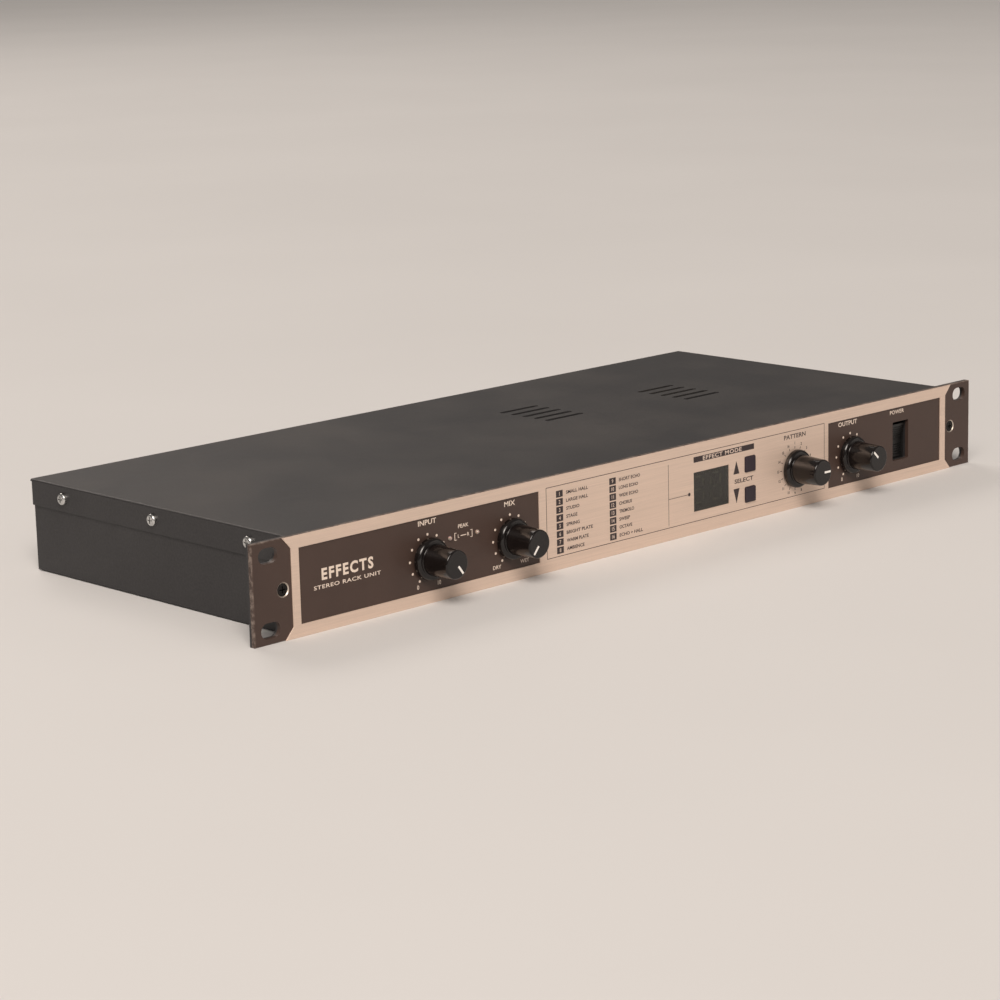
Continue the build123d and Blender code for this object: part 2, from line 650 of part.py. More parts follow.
def board_standoffs():
    main = [rod_z(x, y, 3.0, FLOOR_TOP, MAIN_BOARD_BOTTOM) for x, y in STANDOFF_POINTS]
    front = [rod_y(x, z, 2.5, 0, CONTROL_BOARD_Y) for x, z in CONTROL_STANDOFFS]
    return group(main + front)


def board_screws():
    """Screws through both boards, and the flush ones under the tray's floor."""
    main = [Pos(x, y, MAIN_BOARD_TOP) * pan_head(2.8, 1.8) for x, y in STANDOFF_POINTS]
    back = CONTROL_BOARD_Y + BOARD_THICK
    front = [Pos(x, back, z) * Rot(-90, 0, 0) * pan_head(2.5, 1.6)
             for x, z in CONTROL_STANDOFFS]
    flush = flat_screw(FLOOR_SINK, SHANK, SHEET)
    floor = [Pos(x, y, -BODY_TOP) * Rot(180, 0, 0) * flush for x, y in floor_screw_places()]
    return main + front + floor


def fixing_screws():
    """All the screws and bolts that hold the boards, the inlet and the transformer."""
    return group(board_screws() + inlet_screws() + transformer_bolts())


def chip(x, y, width, depth, height, legs_each_side):
    """A black package with a row of legs down both long sides."""
    top = MAIN_BOARD_TOP
    body = block((x - width / 2, x + width / 2), (y - depth / 2, y + depth / 2),
                 (top + 0.3, top + height))
    pitch = (width - 2) / max(legs_each_side - 1, 1)
    for side in (-1, 1):
        inner, outer = side * (depth / 2 - 0.5), side * (depth / 2 + 1.2)
        for leg in range(legs_each_side):
            leg_x = x - (width - 2) / 2 + leg * pitch
            body += block((leg_x - 0.25, leg_x + 0.25), sorted((y + inner, y + outer)),
                          (top, top + 0.8))
    return body


def dsp_chip():
    return chip(-60.0, 108.0, 24.0, 24.0, 3.2, 12)


def small_chips():
    places = [(-180.0, 100.0), (-180.0, 125.0), (-140.0, 100.0), (-140.0, 125.0),
              (-100.0, 88.0), (-100.0, 125.0), (-20.0, 92.0), (-20.0, 125.0)]
    return group(chip(x, y, 10.0, 6.0, 3.0, 4) for x, y in places)


def capacitors():
    places = [(20.0, 100.0, 8.0, 22.0), (20.0, 122.0, 8.0, 22.0), (40.0, 92.0, 5.0, 14.0),
              (-160.0, 80.0, 4.0, 10.0), (-120.0, 80.0, 4.0, 10.0), (-82.0, 80.0, 4.0, 10.0),
              (-160.0, 142.0, 4.0, 8.0), (-110.0, 142.0, 4.0, 8.0)]
    cans = []
    for x, y, radius, height in places:
        can = rod_z(x, y, radius, MAIN_BOARD_TOP, MAIN_BOARD_TOP + height)
        rims = can.edges().filter_by(GeomType.CIRCLE)
        cans.append(fillet(rims, 0.6))
    return group(cans)


def heatsink():
    top = (MAIN_BOARD_TOP, HEATSINK_TOP)
    fins_y = HEATSINK_Y + HEATSINK_PLATE
    sink = block(HEATSINK_X, (HEATSINK_Y, fins_y), top)
    pitch = (HEATSINK_X[1] - HEATSINK_X[0] - FIN_THICK) / (FIN_COUNT - 1)
    for fin in range(FIN_COUNT):
        x = HEATSINK_X[0] + fin * pitch
        sink += block((x, x + FIN_THICK), (fins_y, HEATSINK_Y + 10), top)
    return sink


def regulators():
    """Two upright regulators with their tabs against the heatsink."""
    parts = []
    for x in REGULATOR_X:
        tab = block((x - 5, x + 5), (HEATSINK_Y - 1.3, HEATSINK_Y), (-6.5, 8.5))
        tab -= rod_y(x, 6.0, 1.6, HEATSINK_Y - 3, HEATSINK_Y + 1)
        tab += block((x - 5, x + 5), (HEATSINK_Y - 4.5, HEATSINK_Y - 1.3), (-6.5, 2.5))
        for leg in (-2.5, 0.0, 2.5):
            tab += block((x + leg - 0.4, x + leg + 0.4), (HEATSINK_Y - 3.2, HEATSINK_Y - 2.6),
                         (MAIN_BOARD_TOP, -6.5))
        parts.append(tab)
    return group(parts)


def ribbon_cable():
    """The flat cable from the back of the control board down to the main board."""
    start = CONTROL_BOARD_Y + BOARD_THICK + HEADER_DEPTH
    middle = sum(RIBBON_X) / 2
    points = [(middle, start, 0), (middle, start + 11, 0), (middle, start + 25, 8),
              (middle, RIBBON_END_Y, 8), (middle, RIBBON_END_Y, HEADER_TOP)]
    path = FilletPolyline(*points, radius=6.0)
    section = Plane(origin=path @ 0, x_dir=(1, 0, 0), z_dir=path % 0)
    return sweep(section * Rectangle(RIBBON_X[1] - RIBBON_X[0], RIBBON_THICK), path)


def board_headers():
    back = CONTROL_BOARD_Y + BOARD_THICK
    wide = (RIBBON_X[0] - 2, RIBBON_X[1] + 2)
    front = block(wide, (back, back + HEADER_DEPTH), (-3, 3))
    main = block(wide, (RIBBON_END_Y - 3, RIBBON_END_Y + 3), (MAIN_BOARD_TOP, HEADER_TOP))
    power = block((67, 77), (86, 104), (MAIN_BOARD_TOP, HEADER_TOP))
    return group([front, main, power])


# ---- rear connectors -----------------------------------------------------------------------
def jack(x):
    """A quarter-inch jack socket with a threaded bushing through the rear panel."""
    low_z = JACK_Z - JACK_HEIGHT / 2
    body = block((x - JACK_WIDTH / 2, x + JACK_WIDTH / 2),
                 (REAR_INSIDE - JACK_DEPTH, REAR_INSIDE), (low_z, low_z + JACK_HEIGHT))
    mouth = REAR_INSIDE + JACK_REACH
    bushing = rod_y(x, JACK_Z, JACK_BUSHING_RADIUS, REAR_INSIDE, mouth)
    rim = bushing.edges().filter_by(GeomType.CIRCLE).sort_by(Axis.Y)[-1]
    body += fillet(rim, 0.4)
    return body - rod_y(x, JACK_Z, JACK_BORE_RADIUS, mouth - JACK_BORE_DEPTH, mouth + 1)


def jack_nuts():
    rings = []
    for x in JACKS.values():
        hole = Circle(JACK_BUSHING_RADIUS + RUNNING_GAP)
        ring = Pos(x, JACK_Z) * (RegularPolygon(JACK_NUT_RADIUS, 6) - hole)
        rings.append(plate(ring, BODY_DEPTH, BODY_DEPTH + JACK_NUT_THICK))
    return group(rings)


def power_inlet():
    """A three-pin mains inlet: flange, body and cavity, open to the rear."""
    place = Pos(INLET_X, INLET_Z)
    flange = place * RectangleRounded(*INLET_FLANGE, 5.0)
    shell = plate(flange, BODY_DEPTH, INLET_FACE)
    shell = fillet(shell.edges().filter_by_position(Axis.Y, INLET_FACE - 0.01,
                                                    INLET_FACE + 0.01), 0.6)
    body = place * RectangleRounded(*INLET_BODY, 1.5)
    shell += plate(body, INLET_BACK, BODY_DEPTH)
    half_x, half_z = INLET_CAVITY[0] / 2, INLET_CAVITY[1] / 2
    cut = INLET_CORNER
    outline = [(-half_x, -half_z), (half_x, -half_z), (half_x, half_z - cut),
               (half_x - cut, half_z), (cut - half_x, half_z), (-half_x, half_z - cut)]
    cavity = place * make_face(Polyline(*outline, close=True))
    shell -= plate(cavity, INLET_FACE - INLET_DEPTH, INLET_FACE + 1)
    for x, z in PIN_PLACES:
        slot = place * Pos(x, z) * Rectangle(*PIN_SIZE)
        shell -= plate(slot, INLET_BACK - 1, INLET_FACE - INLET_DEPTH + 1)
    for side in (-1, 1):
        x = INLET_X + side * INLET_SCREW_PITCH / 2
        shell -= rod_y(x, INLET_Z, SCREW_HOLE, BODY_DEPTH - 1, INLET_FACE + 1)
    return shell


def inlet_screws():
    screw = pan_screw(2.8, 1.8, SHANK, 5.5)
    return [Pos(INLET_X + side * INLET_SCREW_PITCH / 2, INLET_FACE, INLET_Z)
            * Rot(-90, 0, 0) * screw for side in (-1, 1)]


def mains_terminals():
    """The inlet's three blades and the four lugs behind the power switch."""
    blades = []
    for x, z in PIN_PLACES:
        outline = Pos(INLET_X + x, INLET_Z + z) * Rectangle(*PIN_SIZE)
        blades.append(plate(outline, PIN_TAIL, INLET_FACE - 2))
    for x, z in SWITCH_LUGS:
        outline = Pos(SWITCH_X + x, SWITCH_Z + z) * Rectangle(*LUG_SIZE)
        blades.append(plate(outline, SWITCH_DEPTH, LUG_TIP))
    return group(blades)


# ---- mains parts ---------------------------------------------------------------------------
def core_window(side):
    x0, y0, _ = CORE_CENTRE
    x = x0 + side * (LEG_WIDTH + CORE_WINDOW[0]) / 2
    half_x, half_y = CORE_WINDOW[0] / 2, CORE_WINDOW[1] / 2
    return (x - half_x, x + half_x), (y0 - half_y, y0 + half_y)


def transformer_core():
    """Stacked iron laminations lying flat, with a window each side of the middle leg."""
    x0, y0, z0 = CORE_CENTRE
    core = Pos(*CORE_CENTRE) * Box(*CORE_SIZE)
    for side in (-1, 1):
        x, y = core_window(side)
        core -= block(x, y, (z0 - 20, z0 + 20))
    dx, dy = TRANSFORMER_SCREW
    for i in (-1, 1):
        for j in (-1, 1):
            core -= rod_z(x0 + i * dx, y0 + j * dy, 2.0, z0 - 20, z0 + 20)
    return core


def transformer_winding():
    """The taped winding round the middle leg."""
    x0, y0, z0 = CORE_CENTRE
    half_x = LEG_WIDTH / 2 + CORE_WINDOW[0] - WINDING_GAP
    half_y = CORE_WINDOW[1] / 2 - WINDING_GAP
    half_z = CORE_SIZE[2] / 2 + WINDING_BULGE
    coil = block((x0 - half_x, x0 + half_x), (y0 - half_y, y0 + half_y),
                 (z0 - half_z, z0 + half_z))
    coil = fillet(coil.edges().filter_by(Axis.Y), 3.0)
    leg_x = LEG_WIDTH / 2 + WINDING_GAP
    leg_z = CORE_SIZE[2] / 2 + WINDING_GAP
    return coil - block((x0 - leg_x, x0 + leg_x), (y0 - 40, y0 + 40), (z0 - leg_z, z0 + leg_z))


def transformer_bolts():
    """Spacer, through bolt and head at each corner of the core, one piece each."""
    x0, y0, z0 = CORE_CENTRE
    under, over = z0 - CORE_SIZE[2] / 2, z0 + CORE_SIZE[2] / 2
    dx, dy = TRANSFORMER_SCREW
    bolts = []
    for i in (-1, 1):
        for j in (-1, 1):
            x, y = x0 + i * dx, y0 + j * dy
            bolt = rod_z(x, y, SPACER_RADIUS, FLOOR_TOP, under)
            bolt += rod_z(x, y, 1.9, under, over)
            bolt += rod_z(x, y, SPACER_RADIUS, over, over + 2.4)
            bolts.append(bolt)
    return bolts


def fuse_holder():
    """A closed fuse carrier on the tray's floor, with a snap-on lid."""
    base = block(FUSE_X, FUSE_Y, (FLOOR_TOP, FUSE_TOP - 2))
    lid = block((FUSE_X[0] + 1, FUSE_X[1] - 1), (FUSE_Y[0] + 1, FUSE_Y[1] - 1),
                (FUSE_TOP - 2, FUSE_TOP))
    return base + lid


def earth_stud():
    x, y = EARTH_STUD
    stud = rod_z(x, y, 2.0, -BODY_TOP, STUD_TOP)
    nut = Pos(x, y, FLOOR_TOP) * extrude(RegularPolygon(4.0, 6), 3.2)
    return stud + nut


def mains_wires():
    """Line and neutral from the inlet, through the fuse and the switch, to the primary."""
    mid_fuse = (FUSE_X[0] + FUSE_X[1]) / 2
    fuse_z = (FLOOR_TOP + FUSE_TOP - 2) / 2
    pin_z = INLET_Z - 2
    left_x, right_x = INLET_X - 7, INLET_X + 7
    lug_x = [SWITCH_X + x for x, z in SWITCH_LUGS]
    high, low = SWITCH_Z + 5, SWITCH_Z - 5
    coil_x = CORE_CENTRE[0] + LEG_WIDTH / 2 + CORE_WINDOW[0] - WINDING_GAP
    coil_z = CORE_CENTRE[2] + CORE_SIZE[2] / 2 + 3.2
    live = wire([(right_x, PIN_TAIL, pin_z), (right_x, 140, pin_z),
                 (mid_fuse, 132, fuse_z), (mid_fuse, FUSE_Y[1], fuse_z)], bend=4.0)
    fused = wire([(mid_fuse, FUSE_Y[0], fuse_z), (mid_fuse, 55, fuse_z),
                  (lug_x[3], 42, low), (lug_x[3], LUG_TIP, low)], bend=4.0)
    neutral = wire([(left_x, PIN_TAIL, pin_z), (left_x, 140, pin_z), (184, 126, 4),
                    (184, 48, 4), (lug_x[2], 38, low), (lug_x[2], LUG_TIP, low)], bend=4.0)
    primaries = []
    for lug, y, height in ((0, 90.0, 13.0), (1, 98.0, 16.0)):
        primaries.append(wire([(lug_x[lug], LUG_TIP, high), (lug_x[lug], 36, high),
                               (lug_x[lug] - 4, 48, height), (lug_x[lug] - 4, y, height),
                               (164, y, coil_z), (coil_x, y, coil_z)], bend=4.0))
    return group([live, fused, neutral] + primaries)


def earth_wire():
    x, y = EARTH_STUD
    pin_z = INLET_Z + 2
    return wire([(INLET_X, PIN_TAIL, pin_z), (INLET_X, 140, pin_z), (184, 138, 12),
                 (x, y - 6, 12), (x, y, 4), (x, y, STUD_TOP)], bend=3.0)


def secondary_wires():
    """Three wires from the winding to the main board's power header."""
    coil_x = CORE_CENTRE[0] - LEG_WIDTH / 2 - CORE_WINDOW[0] + WINDING_GAP
    coil_z = CORE_CENTRE[2] + CORE_SIZE[2] / 2 + 3.2
    return group(wire([(coil_x, y, coil_z), (82, y, coil_z), (72, y, coil_z - 6),
                       (72, y, HEADER_TOP)], bend=3.0) for y in (90.0, 95.0, 100.0))


# ---- the nodes -----------------------------------------------------------------------------
NODES = {
    "front_plate": front_plate,
    "chassis_tray": chassis_tray,
    "rear_panel": rear_panel,
    "top_cover": top_cover,
    "cover_screws": cover_screws,
    "front_panel": front_panel,
    "fascia_overlay": fascia_overlay,
    "panel_screws": panel_screws,
    "display_window": display_window,
    "display_module": display_module,
    "peak_leds": peak_leds,
    "tact_switches": tact_switches,
    "pot_washers": pot_washers,
    "pot_nuts": pot_nuts,
    "switch_housing": switch_housing,
    "power_rocker": power_rocker,
    "control_board": control_board,
    "main_board": main_board,
    "board_standoffs": board_standoffs,
    "fixing_screws": fixing_screws,
    "board_headers": board_headers,
    "ribbon_cable": ribbon_cable,
    "dsp_chip": dsp_chip,
    "small_chips": small_chips,
    "capacitors": capacitors,
    "heatsink": heatsink,
    "regulators": regulators,
    "jack_nuts": jack_nuts,
    "power_inlet": power_inlet,
    "mains_terminals": mains_terminals,
    "transformer_core": transformer_core,
    "transformer_winding": transformer_winding,
    "fuse_holder": fuse_holder,
    "earth_stud": earth_stud,
    "mains_wires": mains_wires,
    "earth_wire": earth_wire,
    "secondary_wires": secondary_wires,
}

os.makedirs("parts", exist_ok=True)
for node, make in NODES.items():
    export_step(make(), f"parts/{node}.step")
for node, x in JACKS.items():
    export_step(jack(x), f"parts/{node}.step")
for node, z in BUTTON_Z.items():
    export_step(select_button(z), f"parts/select_{node}_button.step")
for control in KNOBS:
    housing = "pattern_encoder" if control == "pattern" else f"{control}_pot"
    export_step(pot_body(control), f"parts/{housing}.step")
    export_step(shaft(control), f"parts/{control}_shaft.step")
    export_step(knob(control), f"parts/{control}_knob.step")
    export_step(pointer(control), f"parts/{control}_pointer.step")
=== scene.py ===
from math import cos, pi, radians, sin

import bmesh
import bpy
from mathutils import Matrix, Vector


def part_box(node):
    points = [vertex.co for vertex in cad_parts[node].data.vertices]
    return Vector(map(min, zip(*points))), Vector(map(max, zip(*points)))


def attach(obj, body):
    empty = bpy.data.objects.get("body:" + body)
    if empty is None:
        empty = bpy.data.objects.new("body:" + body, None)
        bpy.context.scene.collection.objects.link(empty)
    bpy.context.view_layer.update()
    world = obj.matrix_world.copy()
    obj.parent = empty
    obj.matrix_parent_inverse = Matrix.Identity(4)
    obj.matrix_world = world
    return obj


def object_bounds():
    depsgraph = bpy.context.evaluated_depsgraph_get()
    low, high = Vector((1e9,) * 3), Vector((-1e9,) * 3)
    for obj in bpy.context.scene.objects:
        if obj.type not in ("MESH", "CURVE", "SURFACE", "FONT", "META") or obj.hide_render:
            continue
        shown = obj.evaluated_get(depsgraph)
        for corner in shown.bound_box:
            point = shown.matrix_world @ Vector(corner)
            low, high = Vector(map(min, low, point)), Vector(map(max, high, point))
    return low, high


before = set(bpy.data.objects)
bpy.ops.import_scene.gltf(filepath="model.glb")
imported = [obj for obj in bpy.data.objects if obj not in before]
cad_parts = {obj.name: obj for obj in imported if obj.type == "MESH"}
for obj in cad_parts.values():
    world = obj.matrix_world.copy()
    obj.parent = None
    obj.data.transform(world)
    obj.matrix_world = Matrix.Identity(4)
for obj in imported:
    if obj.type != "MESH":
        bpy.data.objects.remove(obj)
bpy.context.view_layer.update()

# A one-unit rack effects unit. Places on its panels are in millimetres: X to the right seen
# from the front, Z up.
MM = 0.001
CONTROLS = ("input", "mix", "pattern", "output")
JACKS = ("input_jack_left", "input_jack_right", "output_jack_left", "output_jack_right",
         "footswitch_jack")
PANEL_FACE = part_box("front_panel")[0].y
FASCIA_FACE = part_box("fascia_overlay")[0].y
REAR_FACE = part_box("rear_panel")[1].y
INK = 0.025 * MM                  # thickness of one printed layer
EAR_HEAD = 2.75 * MM              # radius of the ear screws' heads
EAR_SINK = 3.2 * MM               # radius of their countersinks
SINK_EDGE = 0.1 * MM              # how softly the bare countersink fades into the paint
WORN_SIDE = 0.7 * MM              # how far the rubbed edges reach in from the sides
WORN_TOP = 0.45 * MM              # and from the top and bottom


def middle(node):
    """The centre of a CAD node's box, in millimetres."""
    low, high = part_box(node)
    return (low + high) / 2 / MM


KNOB_Z = middle("input_shaft").z
INPUT_X, MIX_X, PATTERN_X, OUTPUT_X = (middle(name + "_shaft").x for name in CONTROLS)


# ---- materials -----------------------------------------------------------------------------
class Recipe:
    """A node material being built. Its patterns lie in the object's own metres.

    The colour and roughness given first hold until a pattern is linked over them.
    """

    WAVE_LENGTH = 2 * pi / 20     # of the wave texture at a scale of 1

    def __init__(self, name, color, roughness, metallic=0.0):
        self.material = bpy.data.materials.new(name)
        self.material.use_nodes = True
        self.tree = self.material.node_tree
        self.tree.nodes.clear()
        self.shader = self.node("ShaderNodeBsdfPrincipled")
        output = self.node("ShaderNodeOutputMaterial")
        self.link(self.shader.outputs["BSDF"], output.inputs["Surface"])
        self.place = self.node("ShaderNodeTexCoord").outputs["Object"]
        self.set("Base Color", (*color, 1.0))
        self.set("Roughness", roughness)
        self.set("Metallic", metallic)

    def node(self, kind):
        return self.tree.nodes.new(kind)

    def link(self, source, target):
        self.tree.links.new(source, target)

    def set(self, socket, value):
        self.shader.inputs[socket].default_value = value

    def stretched(self, stretch):
        """The object's coordinates, scaled along each axis."""
        mapping = self.node("ShaderNodeMapping")
        mapping.inputs["Scale"].default_value = stretch
        self.link(self.place, mapping.inputs["Vector"])
        return mapping.outputs["Vector"]

    def noise(self, scale, stretch=(1, 1, 1), detail=3.0, rough=0.5):
        texture = self.node("ShaderNodeTexNoise")
        texture.inputs["Scale"].default_value = scale
        texture.inputs["Detail"].default_value = detail
        texture.inputs["Roughness"].default_value = rough
        self.link(self.stretched(stretch), texture.inputs["Vector"])
        return texture.outputs["Fac"]

    def pebbles(self, scale):
        """Rounded cells with soft edges."""
        texture = self.node("ShaderNodeTexVoronoi")
        texture.feature = "SMOOTH_F1"
        texture.inputs["Scale"].default_value = scale
        self.link(self.place, texture.inputs["Vector"])
        return texture.outputs["Distance"]

    def bands(self, axis, pitch):
        """A wave from 0 to 1 along one axis, once every pitch metres."""
        texture = self.node("ShaderNodeTexWave")
        texture.bands_direction = axis
        texture.inputs["Scale"].default_value = self.WAVE_LENGTH / pitch
        self.link(self.place, texture.inputs["Vector"])
        return texture.outputs["Fac"]

    def spread(self, value, low, high, start=0.3, end=0.7):
        """Maps a pattern's start..end onto low..high."""
        ramp = self.node("ShaderNodeMapRange")
        ramp.inputs["From Min"].default_value = start
        ramp.inputs["From Max"].default_value = end
        ramp.inputs["To Min"].default_value = low
        ramp.inputs["To Max"].default_value = high
        self.link(value, ramp.inputs["Value"])
        return ramp.outputs["Result"]

    def math(self, operation, first, second=0.0):
        """An arithmetic node on sockets or plain numbers. Some operations use only the first."""
        step = self.node("ShaderNodeMath")
        step.operation = operation
        for socket, value in zip(step.inputs, (first, second)):
            if isinstance(value, (int, float)):
                socket.default_value = value
            else:
                self.link(value, socket)
        return step.outputs["Value"]

    def blend(self, factor, first, second):
        """A colour mixed by factor. Each of first and second is a socket or a plain colour."""
        mix = self.node("ShaderNodeMix")
        mix.data_type = "RGBA"
        sockets = [s for s in mix.inputs if s.name in ("A", "B") and s.type == "RGBA"]
        self.link(factor, mix.inputs["Factor"])
        for socket, value in zip(sockets, (first, second)):
            if isinstance(value, tuple):
                socket.default_value = (*value, 1.0)
            else:
                self.link(value, socket)
        return [s for s in mix.outputs if s.type == "RGBA"][0]

    def axis(self, letter):
        """The size of one coordinate, in metres, without its sign."""
        split = self.node("ShaderNodeSeparateXYZ")
        self.link(self.place, split.inputs["Vector"])
        return self.math("ABSOLUTE", split.outputs[letter])

    def near(self, x, z, inner, outer):
        """1 around the point x, z of the panel and its mirror image, fading out by outer."""
        across = self.math("POWER", self.math("SUBTRACT", self.axis("X"), x), 2.0)
        up = self.math("POWER", self.math("SUBTRACT", self.axis("Z"), z), 2.0)
        reach = self.math("SQRT", self.math("ADD", across, up))
        return self.spread(reach, 1, 0, inner, outer)

    def facing(self, letter):
        """How far the surface faces along one axis, from -1 to 1."""
        split = self.node("ShaderNodeSeparateXYZ")
        self.link(self.node("ShaderNodeNewGeometry").outputs["Normal"], split.inputs["Vector"])
        return split.outputs[letter]

    def color(self, socket):
        self.link(socket, self.shader.inputs["Base Color"])

    def roughness(self, socket):
        self.link(socket, self.shader.inputs["Roughness"])

    def bump(self, height, depth):
        """Raises the surface by a pattern, depth metres from its low to its high."""
        bump = self.node("ShaderNodeBump")
        bump.inputs["Distance"].default_value = depth
        self.link(height, bump.inputs["Height"])
        normal = self.shader.inputs["Normal"]
        if normal.is_linked:
            self.link(normal.links[0].from_socket, bump.inputs["Normal"])
        self.link(bump.outputs["Normal"], normal)


def tint(color, amount):
    """The colour made lighter or darker."""
    return tuple(min(1.0, channel * amount) for channel in color)


def grained(name, color, roughness, metallic=0.0, grain=2500.0, depth=4e-6, change=0.12):
    """A moulded, painted or cast surface: fine grain, faint mottling and uneven gloss."""
    smudge = 0.06
    recipe = Recipe(name, color, roughness, metallic)
    fine = recipe.noise(grain, detail=2.0)
    cloud = recipe.noise(grain / 60, detail=4.0)
    recipe.color(recipe.blend(recipe.spread(cloud, 0, 1),
                              tint(color, 1 - change), tint(color, 1 + change)))
    recipe.roughness(recipe.spread(cloud, roughness - smudge, roughness + smudge))
    recipe.bump(fine, depth)
    return recipe.material


def silver_paint():
    """The fascia: warm silver with a fine grain brushed along its length."""
    silver = (0.66, 0.52, 0.43)
    recipe = Recipe("fascia_silver", silver, 0.42, 0.35)
    streaks = recipe.noise(2600, stretch=(0.012, 1, 1), detail=3.0, rough=0.65)
    flake = recipe.noise(5200, detail=1.0)
    cloud = recipe.noise(14, detail=3.0)
    base = recipe.blend(recipe.spread(streaks, 0, 1), tint(silver, 0.92), tint(silver, 1.08))
    recipe.color(recipe.blend(recipe.spread(flake, 0.0, 0.30), base, tint(silver, 1.22)))
    gloss = recipe.spread(cloud, 0.0, 0.05)
    recipe.roughness(recipe.math("ADD", recipe.spread(streaks, 0.36, 0.48), gloss))
    recipe.bump(streaks, 2.5e-6)
    return recipe.material


def charcoal_paint():
    """The panel: satin charcoal, rubbed paler along its outer edges."""
    dark, worn = (0.056, 0.035, 0.028), (0.25, 0.20, 0.17)
    recipe = Recipe("panel_charcoal", dark, 0.44)
    recipe.set("Specular IOR Level", 0.35)
    peel = recipe.noise(1500, detail=2.0)
    speck = recipe.noise(6500, detail=1.0)
    cloud = recipe.noise(22, detail=5.0, rough=0.6)
    base = recipe.blend(recipe.spread(cloud, 0, 1), tint(dark, 0.9), tint(dark, 1.12))
    base = recipe.blend(recipe.spread(speck, 0, 0.5, 0.55, 0.8), base, tint(dark, 1.8))
    half_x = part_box("front_panel")[1].x
    half_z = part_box("front_panel")[1].z
    edge = recipe.math("MAXIMUM",
                       recipe.spread(recipe.axis("X"), 0, 1, half_x - WORN_SIDE, half_x),
                       recipe.spread(recipe.axis("Z"), 0, 1, half_z - WORN_TOP, half_z))
    rub = recipe.spread(recipe.noise(350, detail=5.0, rough=0.7), 0, 1, 0.42, 0.66)
    base = recipe.blend(recipe.math("MULTIPLY", edge, rub), base, worn)
    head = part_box("panel_screws")[1]
    bare = recipe.near(head.x - EAR_HEAD, 0.0, EAR_SINK - SINK_EDGE, EAR_SINK + SINK_EDGE)
    recipe.color(recipe.blend(bare, base, (0.62, 0.55, 0.48)))
    recipe.link(bare, recipe.shader.inputs["Metallic"])
    recipe.roughness(recipe.spread(cloud, 0.38, 0.50))
    recipe.bump(peel, 9e-6)
    recipe.bump(speck, 2e-6)
    return recipe.material


def powder_coat():
    """The enclosure: black, slightly pebbled, with a little dust where they face up."""
    dark = (0.021, 0.020, 0.021)
    recipe = Recipe("black_powder_coat", dark, 0.5)
    pebble = recipe.pebbles(1300)
    peel = recipe.noise(900, detail=3.0)
    cloud = recipe.noise(16, detail=6.0, rough=0.62)
    dust = recipe.math("MULTIPLY", recipe.spread(cloud, 0.0, 0.16, 0.4, 0.72),
                       recipe.spread(recipe.facing("Z"), 0, 1, 0.5, 1.0))
    base = recipe.blend(recipe.spread(peel, 0, 1), tint(dark, 0.85), tint(dark, 1.35))
    recipe.color(recipe.blend(dust, base, (0.16, 0.145, 0.13)))
    recipe.roughness(recipe.spread(cloud, 0.42, 0.56))
    recipe.bump(pebble, 1.6e-5)
    recipe.bump(peel, 1.2e-5)
    return recipe.material


def plated(name, color, roughness=0.22):
    """Bright plated metal: fine turning marks and faint stains."""
    recipe = Recipe(name, color, roughness, 1.0)
    marks = recipe.noise(3800, stretch=(1, 0.2, 1), detail=4.0, rough=0.7)
    stain = recipe.noise(260, detail=4.0)
    recipe.color(recipe.blend(recipe.spread(stain, 0, 1, 0.45, 0.75), color, tint(color, 0.72)))
    recipe.roughness(recipe.spread(marks, roughness - 0.08, roughness + 0.12))
    recipe.bump(marks, 2e-6)
    return recipe.material


def knob_plastic():
    """Semi-gloss black moulding, a little smudged by fingers."""
    dark = (0.0048, 0.0036, 0.0034)
    recipe = Recipe("knob_black", dark, 0.26)
    recipe.set("Specular IOR Level", 0.45)
    grain = recipe.noise(4200, detail=2.0)
    smudge = recipe.noise(160, detail=5.0, rough=0.6)
    recipe.color(recipe.blend(recipe.spread(smudge, 0, 1), dark, tint(dark, 1.6)))
    recipe.roughness(recipe.spread(smudge, 0.10, 0.19))
    recipe.bump(grain, 3e-6)
    return recipe.material


def smoked_acrylic():
    """The display's dark window, clear enough to show unlit digits faintly."""
    recipe = Recipe("smoked_lens", (0.20, 0.19, 0.16), 0.04)
    recipe.set("Specular IOR Level", 0.15)
    recipe.set("Transmission Weight", 0.93)
    recipe.set("IOR", 1.49)
    haze = recipe.noise(900, detail=4.0)
    scuff = recipe.noise(2200, stretch=(0.06, 1, 1), detail=2.0)
    recipe.roughness(recipe.spread(haze, 0.03, 0.10))
    recipe.color(recipe.blend(recipe.spread(haze, 0, 1), (0.17, 0.165, 0.14), (0.23, 0.22, 0.185)))
    recipe.bump(scuff, 8e-7)
    return recipe.material


def led_epoxy():
    """An indicator's milky lens, unlit."""
    recipe = Recipe("led_epoxy", (0.60, 0.46, 0.40), 0.18)
    recipe.set("Transmission Weight", 0.35)
    recipe.set("Subsurface Weight", 0.25)
    recipe.set("Subsurface Scale", 0.4 * MM)
    cloud = recipe.noise(1600, detail=2.0)
    recipe.color(recipe.blend(recipe.spread(cloud, 0, 1), (0.54, 0.41, 0.35), (0.66, 0.52, 0.45)))
    recipe.roughness(recipe.spread(cloud, 0.12, 0.24))
    return recipe.material


def ink(name, color):
    """Screen-printed ink: slightly uneven cover, softer gloss than the paint under it."""
    recipe = Recipe(name, color, 0.55)
    grain = recipe.noise(5200, detail=3.0)
    recipe.color(recipe.blend(recipe.spread(grain, 0, 1), tint(color, 0.86), tint(color, 1.06)))
    recipe.roughness(recipe.spread(grain, 0.45, 0.62))
    recipe.bump(grain, 1.5e-6)
    return recipe.material


